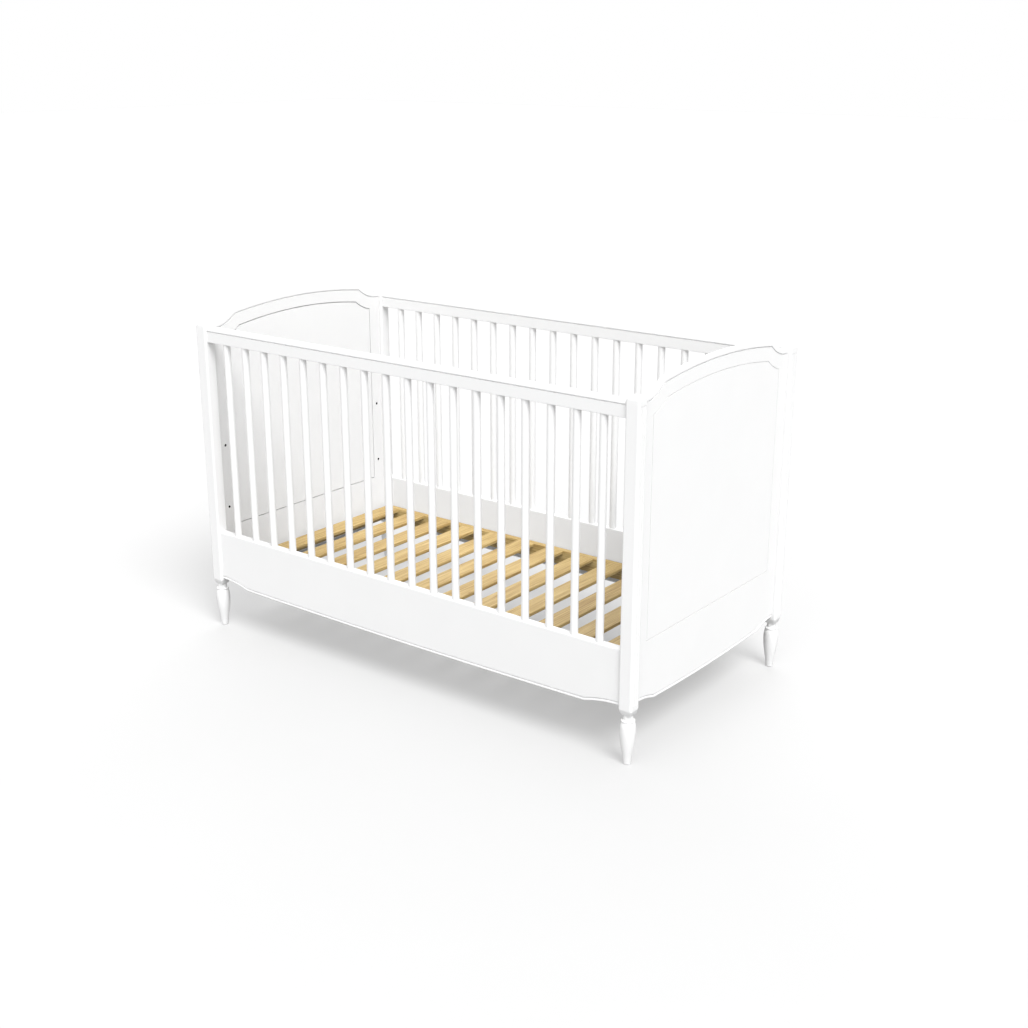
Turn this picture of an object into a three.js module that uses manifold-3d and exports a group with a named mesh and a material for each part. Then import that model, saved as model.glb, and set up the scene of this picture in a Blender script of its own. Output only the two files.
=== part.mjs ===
// A baby cot in white painted wood: four square posts on turned legs, two crowned end
// panels, two sides of round spindles between a top rail and a deep apron, and a slatted
// base that bolts to the end panels at one of three heights.
//
// Millimetres, +Z up. X runs along the cot, +Y is the back side, and the origin is on the
// floor under the middle of the cot.

import * as THREE from 'three';
import { mergeVertices } from 'three/addons/utils/BufferGeometryUtils.js';
import Module from 'manifold-3d';

const wasm = await Module();
wasm.setup();

// ---- Driving dimensions -------------------------------------------------------------

const cotLength = 1480;          // over the posts
const cotWidth = 760;            // over the posts
const postTop = 917;             // height of the domed post tops
const legHeight = 133;           // from the floor to the underside of a post
const fit = 0.3;                 // gap left round a piece that sits in another

const postX = 38;                // post section along the cot
const postY = 36;                // post section across the cot
const postEdge = 5;              // rounding of the post's upright edges
const postTaper = 13.5;          // height of the pyramid under the post
const postTaperShare = 0.68;     // size of the pyramid's small end against the post
const domeRadius = 33;

const fluteCount = 3;
const flutePitch = 8.5;
const fluteRadius = 2.6;
const fluteDepth = 2;
const fluteFromTop = 24;         // from the post's crown down to the flutes
const fluteFromFoot = 27;        // from the post's underside up to the flutes

const legSpigotRadius = 6;
const legSpigotLength = 25;

const railThick = 23;            // top rails and aprons
const railHeight = 44.4;
const railBelowCrown = 12;       // from the post's crown down to the top rail
const railEdge = 1.5;            // eased lower edges of the top rail
const grooveWidth = 3;           // routed line that follows an edge
const grooveDepth = 1.5;
const edgeBead = 12.5;           // from a top edge down to its routed line

const apronHeight = 167.5;
const apronBelowPost = 2.5;      // how far the apron's middle hangs below the posts
const apronBow = 5;              // how far the lower edge rises from the middle to the step
const apronStepRun = 102;        // length of the step beside a post
const apronStepRise = 16;
const footBead = 9;              // from a lower edge up to its routed line
const boardEdge = 3;             // eased edges of aprons and end panels

const panelThick = 15;
const panelAbovePost = 39.5;     // how far the end panel's crown stands over the posts
const panelCrown = 19;           // rise of the crown over its corners
const panelStepRun = 80;         // length of the hollow shoulder beside a post
const panelStepDrop = 31.5;      // height of the shoulder
const panelStepGap = 3;          // level stretch between the shoulder and the post
const panelBelowPost = 1;
const panelBow = 6;
const panelFootStepRise = 15;
const fieldInset = 48.5;         // from the top edge to the routed frame line
const fieldSide = 43;            // from the post to the frame line
const fieldRise = 171;           // from the panel's lower edge up to the frame line
const cornerShift = 0.4;         // how far a corner moves in for each millimetre of inset

const tenonLength = 12;
const tenonRoot = 2;             // how far a tenon starts inside its own piece
const tenonThick = 9;
const tenonShoulder = 8;         // from the rail's edge to its tenon
const panelTenonShoulder = 60;

const spindleCount = 18;         // on each side
const spindleFromPost = 67.9;    // from a post to the axis of the first spindle
const spindleRadius = 10.5;
const spindlePegRadius = 6;
const spindlePegLength = 15;

const baseBelowApron = 98;       // from the apron's top down to the slats, at the lowest setting
const baseSideGap = 2;           // between the base and the apron
const slatCount = 13;
const slatWidth = 61;
const slatThick = 10;
const slatSeat = 8;              // how far a slat reaches into the base's side rail
const baseRailThick = 20;
const baseRailHeight = 46;
const battenThick = 16;
const battenPostGap = 3;

const boltHeights = 3;           // rows of holes
const boltRowPitch = 187.5;
const boltDrop = 27;             // from the slat top down to the bolt's axis
const boltRadius = 3.7;
const boltHeadRadius = 6;
const boltHeadHeight = 5;
const boltHeadGap = 0.5;         // between the bolt's head and the base's side rail
const boltHoleWall = 3;          // wood left behind a bolt hole

const roundSides = 10;           // sides of spindles, pegs and sockets
const legSides = 14;
const crownSteps = [4, 10, 4];   // straight steps in a shoulder, a crown, a shoulder

// ---- Places worked out from them ----------------------------------------------------

const postFoot = legHeight;
const postCentreX = cotLength / 2 - postX / 2;
const postCentreY = cotWidth / 2 - postY / 2;
const clearLength = cotLength - 2 * postX;           // between the posts, along a side
const clearWidth = cotWidth - 2 * postY;             // between the posts, across an end
const railTop = postTop - railBelowCrown;
const railFoot = railTop - railHeight;
const apronFoot = postFoot - apronBelowPost;
const apronTop = apronFoot + apronHeight;
const panelTop = postTop + panelAbovePost;
const panelFoot = postFoot - panelBelowPost;
const panelInner = postCentreX - panelThick / 2;     // inner face of an end panel
const apronInner = postCentreY - railThick / 2;      // inner face of an apron
const spindlePitch = (clearLength - 2 * spindleFromPost) / (spindleCount - 1);
const baseTop = apronTop - baseBelowApron;
const baseRailFoot = baseTop - baseRailHeight;
const baseHalfWidth = apronInner - baseSideGap;
const baseHalfLength = panelInner - battenThick - 2 * fit;
const boltY = baseHalfWidth - baseRailThick - boltHeadRadius - boltHeadGap;
const boltZ = baseTop - boltDrop;
const boltHoleRadius = boltRadius + fit;
const boltHoleDepth = panelThick - boltHoleWall;

// ---- Finishes -----------------------------------------------------------------------

const whitePaint = new THREE.MeshStandardMaterial({ color: 0xf4f4f2, roughness: 0.45, metalness: 0 });
const palePine = new THREE.MeshStandardMaterial({ color: 0xe3c084, roughness: 0.6, metalness: 0 });
const zincSteel = new THREE.MeshStandardMaterial({ color: 0xb8bcc0, roughness: 0.35, metalness: 1 });

// ---- Solids -------------------------------------------------------------------------

function solidFrom(geometry) {
  const bare = geometry.clone();
  bare.deleteAttribute('normal');
  bare.deleteAttribute('uv');
  const merged = mergeVertices(bare, 1e-4);
  return new wasm.Manifold(new wasm.Mesh({
    numProp: 3,
    vertProperties: new Float32Array(merged.attributes.position.array),
    triVerts: new Uint32Array(merged.index.array),
  }));
}

function geometryFrom(solid) {
  const mesh = solid.getMesh();
  const geometry = new THREE.BufferGeometry();
  geometry.setAttribute('position', new THREE.BufferAttribute(mesh.vertProperties, 3));
  geometry.setIndex(new THREE.BufferAttribute(mesh.triVerts, 1));
  return geometry;
}

function joined(first, ...others) {
  return others.reduce((whole, other) => whole.add(other), first);
}

function cutFrom(whole, cutters) {
  return cutters.reduce((rest, cutter) => rest.subtract(cutter), whole);
}

// A box between two opposite corners, given in any order.
function block(x0, x1, y0, y1, z0, z1) {
  const geometry = new THREE.BoxGeometry(Math.abs(x1 - x0), Math.abs(y1 - y0), Math.abs(z1 - z0));
  geometry.translate((x0 + x1) / 2, (y0 + y1) / 2, (z0 + z1) / 2);
  return solidFrom(geometry);
}

// A turned piece: its profile is [radius, height] points from the bottom to the top.
function turned(profile, sides) {
  const points = profile.map(([radius, height]) => new THREE.Vector2(radius, height));
  const geometry = new THREE.LatheGeometry(points, sides);
  geometry.rotateX(Math.PI / 2);
  return geometry;
}

// A peg-shaped cutter or solid along Z, or along X when it is laid down.
function peg(radius, x, y, z0, z1, sides = roundSides) {
  const solid = solidFrom(turned([[0, z0], [radius, z0], [radius, z1], [0, z1]], sides));
  return solid.translate([x, y, 0]);
}

function pegAlongX(radius, x0, x1, y, z, sides = roundSides) {
  const geometry = turned([[0, x0], [radius, x0], [radius, x1], [0, x1]], sides);
  geometry.rotateY(Math.PI / 2);
  geometry.translate(0, y, z);
  return solidFrom(geometry);
}

// Points of a curve z = height(u), stepped evenly between each pair of its corners.
function curvePoints(height, corners, steps) {
  const points = [];
  for (let i = 0; i + 1 < corners.length; i += 1) {
    const from = corners[i];
    const to = corners[i + 1];
    for (let s = 0; s < steps[i]; s += 1) {
      const u = from + (to - from) * s / steps[i];
      points.push(new THREE.Vector2(u, height(u)));
    }
  }
  const last = corners[corners.length - 1];
  points.push(new THREE.Vector2(last, height(last)));
  return points;
}

// A board drawn as an outline in (u, z) and given a thickness with eased edges. The board
// stands in the XZ plane (along 'x') or the YZ plane (along 'y'), its middle on the axis.
function board(outline, thick, edge, along) {
  const geometry = new THREE.ExtrudeGeometry(new THREE.Shape(outline), {
    depth: thick - 2 * edge,
    bevelEnabled: edge > 0,
    bevelThickness: edge,
    bevelSize: edge,
    bevelOffset: -edge,
    bevelSegments: 1,
  });
  geometry.translate(0, 0, -(thick - 2 * edge) / 2);
  geometry.rotateX(Math.PI / 2);
  if (along === 'y') geometry.rotateZ(Math.PI / 2);
  return solidFrom(geometry);
}

// The two cutters, one for each face, that rout a line of the given outline in a board.
function routedLine(outline, hole, thick, along) {
  const shape = new THREE.Shape(outline);
  if (hole) shape.holes.push(new THREE.Path(hole));
  const geometry = new THREE.ExtrudeGeometry(shape, { depth: 2 * grooveDepth, bevelEnabled: false });
  geometry.translate(0, 0, -grooveDepth);
  geometry.rotateX(Math.PI / 2);
  if (along === 'y') geometry.rotateZ(Math.PI / 2);
  const cutter = solidFrom(geometry);
  const across = along === 'y' ? [thick / 2, 0, 0] : [0, thick / 2, 0];
  return [cutter.translate(across), cutter.translate(across.map((v) => -v))];
}

// ---- Posts and legs -----------------------------------------------------------------

function roundedSection(sizeX, sizeY, edge) {
  const x = sizeX / 2;
  const y = sizeY / 2;
  const shape = new THREE.Shape();
  shape.moveTo(x - edge, -y);
  shape.absarc(x - edge, -y + edge, edge, -Math.PI / 2, 0);
  shape.absarc(x - edge, y - edge, edge, 0, Math.PI / 2);
  shape.absarc(-x + edge, y - edge, edge, Math.PI / 2, Math.PI);
  shape.absarc(-x + edge, -y + edge, edge, Math.PI, Math.PI * 1.5);
  return shape;
}

function postLength(z0, z1) {
  const section = roundedSection(postX, postY, postEdge);
  const geometry = new THREE.ExtrudeGeometry(section, {
    depth: z1 - z0, bevelEnabled: false, curveSegments: 2,
  });
  geometry.translate(0, 0, z0);
  return solidFrom(geometry);
}

// The body of a post on its own axis: a shaft, a domed top and a pyramid underneath.
function postBody() {
  const domeCentre = postTop - domeRadius;
  const dome = new THREE.SphereGeometry(domeRadius, 16, 20);
  dome.rotateX(Math.PI / 2);
  dome.translate(0, 0, domeCentre);
  const cap = postLength(domeCentre, postTop).intersect(solidFrom(dome));
  const whole = postLength(postFoot, domeCentre).add(cap);

  const height = postTop - postFoot;
  const smallEnd = postTaperShare * Math.SQRT1_2 * postX;
  const spread = (1 - postTaperShare) * Math.SQRT1_2 * postX / postTaper;
  const wedge = new THREE.CylinderGeometry(smallEnd + spread * height, smallEnd, height, 4);
  wedge.rotateX(Math.PI / 2);
  wedge.rotateZ(Math.PI / 4);
  wedge.scale(1, postY / postX, 1);
  wedge.translate(0, 0, postFoot + height / 2);
  return whole.intersect(solidFrom(wedge));
}

// The routed flutes on the face that looks away from the cot's middle.
function fluteCutters(sideX) {
  const foot = postFoot + fluteFromFoot;
  const top = postTop - fluteFromTop;
  const straight = top - foot - 2 * fluteRadius;
  const cutters = [];
  for (let i = 0; i < fluteCount; i += 1) {
    const flute = new THREE.CapsuleGeometry(fluteRadius, straight, 1, 8);
    flute.rotateX(Math.PI / 2);
    flute.translate(
      sideX * (postX / 2 + fluteRadius - fluteDepth),
      (i - (fluteCount - 1) / 2) * flutePitch,
      (top + foot) / 2,
    );
    cutters.push(solidFrom(flute));
  }
  return cutters;
}

// A tenon, or with play its mortise, that runs from a shoulder plane into a post.
function sideTenon(sideX, z0, z1, play) {
  const reach = -postX / 2 + tenonLength + play;
  const half = tenonThick / 2 + play;
  return block(sideX * (-postX / 2 - tenonRoot), sideX * reach, -half, half, z0 - play, z1 + play);
}

function endTenon(sideY, play) {
  const reach = -postY / 2 + tenonLength + play;
  const half = tenonThick / 2 + play;
  const z0 = panelFoot + panelTenonShoulder;
  const z1 = panelTop - panelStepDrop - panelTenonShoulder;
  return block(-half, half, sideY * (-postY / 2 - tenonRoot), sideY * reach, z0 - play, z1 + play);
}

const railTenon = [railFoot + tenonShoulder, railTop - edgeBead - tenonShoulder];
const apronTenon = [apronFoot + apronBow + apronStepRise + 2 * tenonShoulder, apronTop - tenonShoulder];

function post(sideX, sideY) {
  return cutFrom(postBody(), [
    ...fluteCutters(sideX),
    sideTenon(sideX, ...railTenon, fit),
    sideTenon(sideX, ...apronTenon, fit),
    endTenon(sideY, fit),
    peg(legSpigotRadius + fit, 0, 0, postFoot - fit, postFoot + legSpigotLength + fit),
  ]);
}

// A turned leg: rounded foot, long vase, a ring, a neck, and a spigot up into the post.
// Each point is a radius and a share of the leg's height.
const legProfile = [
  [0, 0], [7.5, 0], [9, 0.02], [10.6, 0.15], [13.3, 0.31], [16.2, 0.46],
  [18, 0.595], [18.5, 0.685], [17.8, 0.775], [15.2, 0.842],
  [17.4, 0.857], [17.4, 0.887], [12.6, 0.91], [12.6, 1],
];

function leg() {
  const spigotTop = legHeight + legSpigotLength;
  return turned([
    ...legProfile.map(([radius, share]) => [radius, share * legHeight]),
    [legSpigotRadius, legHeight], [legSpigotRadius, spigotTop], [0, spigotTop],
  ], legSides);
}

// ---- Sides --------------------------------------------------------------------------

function spindlePlaces() {
  const places = [];
  for (let i = 0; i < spindleCount; i += 1) places.push((i - (spindleCount - 1) / 2) * spindlePitch);
  return places;
}

function spindle() {
  const foot = apronTop - spindlePegLength;
  const top = railFoot + spindlePegLength;
  return turned([
    [0, foot], [spindlePegRadius, foot], [spindlePegRadius, apronTop], [spindleRadius, apronTop],
    [spindleRadius, railFoot], [spindlePegRadius, railFoot], [spindlePegRadius, top], [0, top],
  ], roundSides);
}

function spindleSockets(z0, z1) {
  return spindlePlaces().map((x) => peg(spindlePegRadius + fit, x, 0, z0, z1));
}

// The two tenons of a side piece, one at each end.
function sideTenons([z0, z1]) {
  return [-1, 1].map((sideX) => sideTenon(sideX, z0, z1, 0).translate([sideX * postCentreX, 0, 0]));
}

function topRail() {
  const half = railThick / 2;
  const crownCentre = railTop - half;
  const lineZ = railTop - edgeBead;
  const section = new THREE.Shape();
  section.moveTo(-half + railEdge, railFoot);
  section.lineTo(half - railEdge, railFoot);
  section.lineTo(half, railFoot + railEdge);
  section.lineTo(half, lineZ - grooveWidth / 2);
  section.lineTo(half - grooveDepth, lineZ);
  section.lineTo(half - grooveDepth / 2, lineZ + grooveWidth / 4);
  section.absarc(0, crownCentre, half, 0.06, Math.PI - 0.06);
  section.lineTo(-half + grooveDepth / 2, lineZ + grooveWidth / 4);
  section.lineTo(-half + grooveDepth, lineZ);
  section.lineTo(-half, lineZ - grooveWidth / 2);
  section.lineTo(-half, railFoot + railEdge);
  const geometry = new THREE.ExtrudeGeometry(section, {
    depth: clearLength, bevelEnabled: false, curveSegments: 6,
  });
  geometry.translate(0, 0, -clearLength / 2);
  geometry.rotateX(Math.PI / 2);
  geometry.rotateZ(Math.PI / 2);
  const bar = joined(solidFrom(geometry), ...sideTenons(railTenon));
  return cutFrom(bar, spindleSockets(railFoot - 1, railFoot + spindlePegLength + fit));
}

// Height of an apron's lower edge, or of a line that follows it a little higher.
function apronEdge(inset) {
  const kink = clearLength / 2 - apronStepRun;
  return (x) => {
    const out = Math.abs(x);
    if (out <= kink) return apronFoot + inset + apronBow * (out / kink) ** 2;
    const along = Math.min(1, (out - kink) / apronStepRun);
    return apronFoot + inset + apronBow + apronStepRise * (1 - (1 - along) ** 2);
  };
}

function apron() {
  const end = clearLength / 2;
  const kink = end - apronStepRun;
  const corners = [-end - boardEdge, -kink, kink, end + boardEdge];
  const lower = curvePoints(apronEdge(0), corners, crownSteps);
  const outline = [...lower, new THREE.Vector2(end + boardEdge, apronTop),
    new THREE.Vector2(-end - boardEdge, apronTop)];
  const tall = block(-end, end, -railThick, railThick, 0, apronTop + 1);
  const planks = board(outline, railThick, boardEdge, 'x').intersect(tall);

  const under = curvePoints(apronEdge(footBead - grooveWidth / 2), corners, crownSteps);
  const over = curvePoints(apronEdge(footBead + grooveWidth / 2), corners, crownSteps).reverse();
  const line = routedLine([...under, ...over], null, railThick, 'x');
  return cutFrom(joined(planks, ...sideTenons(apronTenon)), [
    ...line,
    ...spindleSockets(apronTop - spindlePegLength - fit, apronTop + 1),
  ]);
}

// ---- Ends ---------------------------------------------------------------------------

// Height of an end panel's top edge: a crown between two corners, then a hollow shoulder.
function panelUpper(inset) {
  const kink = clearWidth / 2 - panelStepGap - panelStepRun - cornerShift * inset;
  return {
    kink,
    height: (y) => {
      const out = Math.abs(y);
      if (out <= kink) return panelTop - inset - panelCrown * (out / kink) ** 2;
      const along = Math.min(1, (out - kink) / panelStepRun);
      return panelTop - inset - panelCrown - panelStepDrop * (1 - (1 - along) ** 2);
    },
  };
}

function panelLower(inset) {
  const kink = clearWidth / 2 - panelStepGap - panelStepRun;
  return {
    kink,
    height: (y) => {
      const out = Math.abs(y);
      if (out <= kink) return panelFoot + inset + panelBow * (out / kink) ** 2;
      const along = Math.min(1, (out - kink) / panelStepRun);
      return panelFoot + inset + panelBow + panelFootStepRise * (1 - (1 - along) ** 2);
    },
  };
}

function edgePoints({ kink, height }, end) {
  return curvePoints(height, [-end, -kink, kink, end], crownSteps);
}

// The frame line routed round the field of an end panel, drawn at a distance out from it.
function fieldOutline(out) {
  const side = clearWidth / 2 - fieldSide + out;
  const upper = edgePoints(panelUpper(fieldInset - out), side);
  const foot = panelFoot + fieldRise - out;
  return [...upper.reverse(), new THREE.Vector2(-side, foot), new THREE.Vector2(side, foot)];
}

function endPanel(sideX) {
  const end = clearWidth / 2;
  const outline = [...edgePoints(panelLower(0), end + boardEdge),
    ...edgePoints(panelUpper(0), end + boardEdge).reverse()];
  const tall = block(-panelThick, panelThick, -end, end, 0, panelTop + 1);
  const plank = board(outline, panelThick, boardEdge, 'y').intersect(tall);
  const half = grooveWidth / 2;
  const strip = (edge, inset) => [...edgePoints(edge(inset - half), end + boardEdge),
    ...edgePoints(edge(inset + half), end + boardEdge).reverse()];
  const tenons = [-1, 1].map((sideY) => endTenon(sideY, 0).translate([0, sideY * postCentreY, 0]));

  const holes = [];
  for (let row = 0; row < boltHeights; row += 1) {
    for (const sideY of [-1, 1]) {
      const from = -sideX * (panelThick / 2 + 1);
      const to = -sideX * (panelThick / 2 - boltHoleDepth);
      const ends = [Math.min(from, to), Math.max(from, to)];
      holes.push(pegAlongX(boltHoleRadius, ...ends, sideY * boltY, boltZ + row * boltRowPitch));
    }
  }
  return cutFrom(joined(plank, ...tenons), [
    ...routedLine(strip(panelUpper, edgeBead), null, panelThick, 'y'),
    ...routedLine(strip(panelLower, footBead), null, panelThick, 'y'),
    ...routedLine(fieldOutline(half), fieldOutline(-half), panelThick, 'y'),
    ...holes,
  ]);
}

// ---- Base ---------------------------------------------------------------------------

// The slats and the two side rails that they are glued into, as one closed deck.
function slatDeck() {
  const rails = [-1, 1].map((sideY) => block(
    -baseHalfLength, baseHalfLength,
    sideY * baseHalfWidth, sideY * (baseHalfWidth - baseRailThick),
    baseRailFoot, baseTop,
  ));
  const slatHalf = baseHalfWidth - baseRailThick + slatSeat;
  const pitch = (2 * baseHalfLength - slatWidth) / (slatCount - 1);
  const slats = [];
  for (let i = 0; i < slatCount; i += 1) {
    const left = -baseHalfLength + i * pitch;
    slats.push(block(left, left + slatWidth, -slatHalf, slatHalf, baseTop - slatThick, baseTop));
  }
  return joined(...rails, ...slats);
}

// An end batten of the base, slotted from below so that it drops over its two bolts.
function endBatten(sideX) {
  const inner = sideX * (baseHalfLength + fit);
  const outer = sideX * (panelInner - fit);
  const half = clearWidth / 2 - battenPostGap;
  const top = baseTop - slatThick;
  const slots = [-1, 1].map((sideY) => {
    const y = sideY * boltY;
    const ends = [Math.min(inner, outer) - 1, Math.max(inner, outer) + 1];
    return block(...ends, y - boltHoleRadius, y + boltHoleRadius, baseRailFoot - 1, boltZ)
      .add(pegAlongX(boltHoleRadius, ...ends, y, boltZ));
  });
  return cutFrom(block(inner, outer, -half, half, baseRailFoot, top), slots);
}

// A flanged bolt through the batten into the end panel, lying along X.
function baseBolt(sideX) {
  const seat = baseHalfLength;
  const tip = panelInner + boltHoleDepth - fit;
  const profile = [
    [0, seat - boltHeadHeight], [boltHeadRadius * 0.8, seat - boltHeadHeight],
    [boltHeadRadius, seat - boltHeadHeight * 0.7], [boltHeadRadius, seat],
    [boltRadius, seat], [boltRadius, tip], [0, tip],
  ];
  const geometry = turned(profile, roundSides);
  geometry.rotateY(sideX * Math.PI / 2);
  return geometry;
}

// ---- Assembly -----------------------------------------------------------------------

const cot = new THREE.Group();

function place(name, shape, material, x = 0, y = 0, z = 0) {
  const geometry = shape.isBufferGeometry ? shape : geometryFrom(shape);
  geometry.computeVertexNormals();
  const mesh = new THREE.Mesh(geometry, material);
  mesh.name = name;
  mesh.position.set(x, y, z);
  cot.add(mesh);
}

const sideNames = new Map([[-1, 'front'], [1, 'back']]);
const endNames = new Map([[-1, 'left'], [1, 'right']]);

for (const [sideX, endName] of endNames) {
  for (const [sideY, sideName] of sideNames) {
    const corner = `${sideName}_${endName}`;
    const at = [sideX * postCentreX, sideY * postCentreY];
    place(`post_${corner}`, post(sideX, sideY), whitePaint, ...at);
    place(`leg_${corner}`, leg(), whitePaint, ...at);
    place(`base_bolt_${corner}`, baseBolt(sideX), zincSteel, 0, sideY * boltY, boltZ);
  }
  place(`end_panel_${endName}`, endPanel(sideX), whitePaint, sideX * postCentreX);
  place(`base_batten_${endName}`, endBatten(sideX), palePine);
}

for (const [sideY, sideName] of sideNames) {
  const y = sideY * postCentreY;
  place(`top_rail_${sideName}`, topRail(), whitePaint, 0, y);
  place(`apron_${sideName}`, apron(), whitePaint, 0, y);
  spindlePlaces().forEach((x, i) => {
    const number = String(i + 1).padStart(2, '0');
    place(`spindle_${sideName}_${number}`, spindle(), whitePaint, x, y);
  });
}

place('slat_deck', slatDeck(), palePine);

export default cot;
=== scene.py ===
# %% [markdown]
# # A white painted baby cot
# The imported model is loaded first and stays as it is: it says where every piece lies and
# what it moves with. Each piece that shows is then made in the same place with the detail
# that a maker would give it, and stands for the plain solid.

# %% Load the frame
import math

import bmesh
import bpy
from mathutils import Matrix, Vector


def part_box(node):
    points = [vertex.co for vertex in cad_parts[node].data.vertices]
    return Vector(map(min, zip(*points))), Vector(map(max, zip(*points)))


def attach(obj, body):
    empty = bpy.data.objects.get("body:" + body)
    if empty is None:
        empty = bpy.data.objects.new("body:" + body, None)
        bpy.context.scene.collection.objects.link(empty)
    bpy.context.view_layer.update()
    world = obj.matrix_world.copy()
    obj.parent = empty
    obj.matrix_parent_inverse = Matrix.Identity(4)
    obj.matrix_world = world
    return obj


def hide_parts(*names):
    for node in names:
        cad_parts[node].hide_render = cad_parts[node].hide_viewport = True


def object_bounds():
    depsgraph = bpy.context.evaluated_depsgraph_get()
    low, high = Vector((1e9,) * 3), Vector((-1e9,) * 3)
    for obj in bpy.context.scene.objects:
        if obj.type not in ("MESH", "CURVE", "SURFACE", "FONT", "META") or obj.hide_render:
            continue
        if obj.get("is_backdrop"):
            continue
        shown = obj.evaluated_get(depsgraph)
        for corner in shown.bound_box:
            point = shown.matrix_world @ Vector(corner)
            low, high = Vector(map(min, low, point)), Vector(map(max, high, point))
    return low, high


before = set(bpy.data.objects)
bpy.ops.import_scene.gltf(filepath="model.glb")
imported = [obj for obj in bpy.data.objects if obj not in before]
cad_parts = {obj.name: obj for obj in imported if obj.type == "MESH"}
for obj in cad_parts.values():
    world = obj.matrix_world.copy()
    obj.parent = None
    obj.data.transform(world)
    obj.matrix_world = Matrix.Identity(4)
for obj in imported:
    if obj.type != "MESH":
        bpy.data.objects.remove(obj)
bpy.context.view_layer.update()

# %% [markdown]
# Sizes are in millimetres here, as on a joiner's drawing, and become metres only when a mesh
# is made. Every place is measured on the frame's own solids, so a piece can't drift from the
# solid that it stands for.

# %% Measure the solids
MM = 0.001


def solid_box(node):
    low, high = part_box(node)
    return [value / MM for value in low], [value / MM for value in high]


post_low, post_high = solid_box("post_front_right")
POST_X = post_high[0] - post_low[0]
POST_Y = post_high[1] - post_low[1]
POST_AT_X = (post_high[0] + post_low[0]) / 2
POST_AT_Y = -(post_high[1] + post_low[1]) / 2
POST_FOOT = post_low[2]
POST_TOP = post_high[2]
SIDE_END = POST_AT_X - POST_X / 2
END_END = POST_AT_Y - POST_Y / 2

rail_low, rail_high = solid_box("top_rail_front")
RAIL_THICK = rail_high[1] - rail_low[1]
RAIL_FOOT = rail_low[2]
RAIL_TOP = rail_high[2]
apron_low, apron_high = solid_box("apron_front")
APRON_FOOT = apron_low[2]
APRON_TOP = apron_high[2]
panel_low, panel_high = solid_box("end_panel_right")
PANEL_THICK = panel_high[0] - panel_low[0]
PANEL_FOOT = panel_low[2]
PANEL_TOP = panel_high[2]
deck_low, deck_high = solid_box("slat_deck")
DECK_X = deck_high[0]
DECK_Y = deck_high[1]
DECK_FOOT = deck_low[2]
DECK_TOP = deck_high[2]
print(f"posts {POST_X:.1f} x {POST_Y:.1f}, foot {POST_FOOT:.1f}, top {POST_TOP:.1f}")
print(f"rail {RAIL_FOOT:.1f} to {RAIL_TOP:.1f}, apron {APRON_FOOT:.1f} to {APRON_TOP:.1f}")
print(f"panel {PANEL_FOOT:.1f} to {PANEL_TOP:.1f}, deck top {DECK_TOP:.1f}")

# %% [markdown]
# ## How the pieces are meshed
# Almost every piece of a cot is a section that is carried along a line: a rail's section
# along the rail, a turned leg's circle up its axis. So one helper takes rings of points and
# skins them. Rounded edges are part of the section, and each one gets a point just inside the
# flat beside it, so that smooth shading bends on the edge only and the flats stay flat.

# %% Skin rings of points
SHARP = math.radians(32)
BESIDE = 0.4


def mesh_from_rings(name, rings, wraps=False):
    shape = bmesh.new()
    rows = [[shape.verts.new(Vector(point) * MM) for point in ring] for ring in rings]
    pairs = list(zip(rows, rows[1:]))
    if wraps:
        pairs.append((rows[-1], rows[0]))
    for lower, upper in pairs:
        for i in range(len(lower)):
            j = (i + 1) % len(lower)
            shape.faces.new((lower[i], lower[j], upper[j], upper[i]))
    if not wraps:
        shape.faces.new(rows[0])
        shape.faces.new(rows[-1])
    bmesh.ops.recalc_face_normals(shape, faces=shape.faces)
    mesh = bpy.data.meshes.new(name)
    shape.to_mesh(mesh)
    shape.free()
    return mesh


def piece(name, mesh):
    made = bpy.data.objects.new(name, mesh)
    bpy.context.scene.collection.objects.link(made)
    return made


def shade(mesh):
    mesh.polygons.foreach_set("use_smooth", [True] * len(mesh.polygons))
    mesh.set_sharp_from_angle(angle=SHARP)
    mesh.update()


def arc(centre, radius, start, end, steps):
    points = []
    for i in range(steps + 1):
        angle = math.radians(start + (end - start) * i / steps)
        points.append((centre[0] + radius * math.cos(angle), centre[1] + radius * math.sin(angle)))
    return points


# A circle of radius 1, which a turned piece scales to each of its own radii.
def unit_circle(sides):
    return [(math.cos(math.tau * i / sides), math.sin(math.tau * i / sides))
            for i in range(sides)]


# A rectangle with rounded corners, each with a point on the flats beside it.
def eased_section(half_u, half_v, radius, steps=4):
    points = []
    for sign_u, sign_v, start in ((1, 1, 0), (-1, 1, 90), (-1, -1, 180), (1, -1, 270)):
        centre = (sign_u * (half_u - radius), sign_v * (half_v - radius))
        bend = arc(centre, radius, start, start + 90, steps)
        turn = math.radians(start)
        before = (bend[0][0] + BESIDE * math.sin(turn), bend[0][1] - BESIDE * math.cos(turn))
        after = (bend[-1][0] - BESIDE * math.cos(turn), bend[-1][1] - BESIDE * math.sin(turn))
        points += [before, *bend, after]
    return points


print("section of a post has", len(eased_section(POST_X / 2, POST_Y / 2, 5)), "points")

# %% [markdown]
# ## Finishes
# Each finish is a short node tree in front of the Principled shader. Every helper below adds
# one step to it: coordinates, noise, a blend of colours, a range, or a relief. The patterns
# read Object coordinates, so they stay fixed in the wood and keep their true size.
#
# In a bright room, white boards throw so much light on each other that no corner stays dark,
# and warm wood tints the white beside it. So a finish has two colours: the one that is seen,
# and a darker, nearly neutral one for light that is on its way to another surface.

# %% Helpers for finishes
EVEN = (1, 1, 1)
WHITE = (1.0, 1.0, 1.0, 1.0)


def new_finish(name, roughness):
    finish = bpy.data.materials.new(name)
    finish.use_nodes = True
    shader = finish.node_tree.nodes["Principled BSDF"]
    shader.inputs["Roughness"].default_value = roughness
    return finish, finish.node_tree, shader


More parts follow.
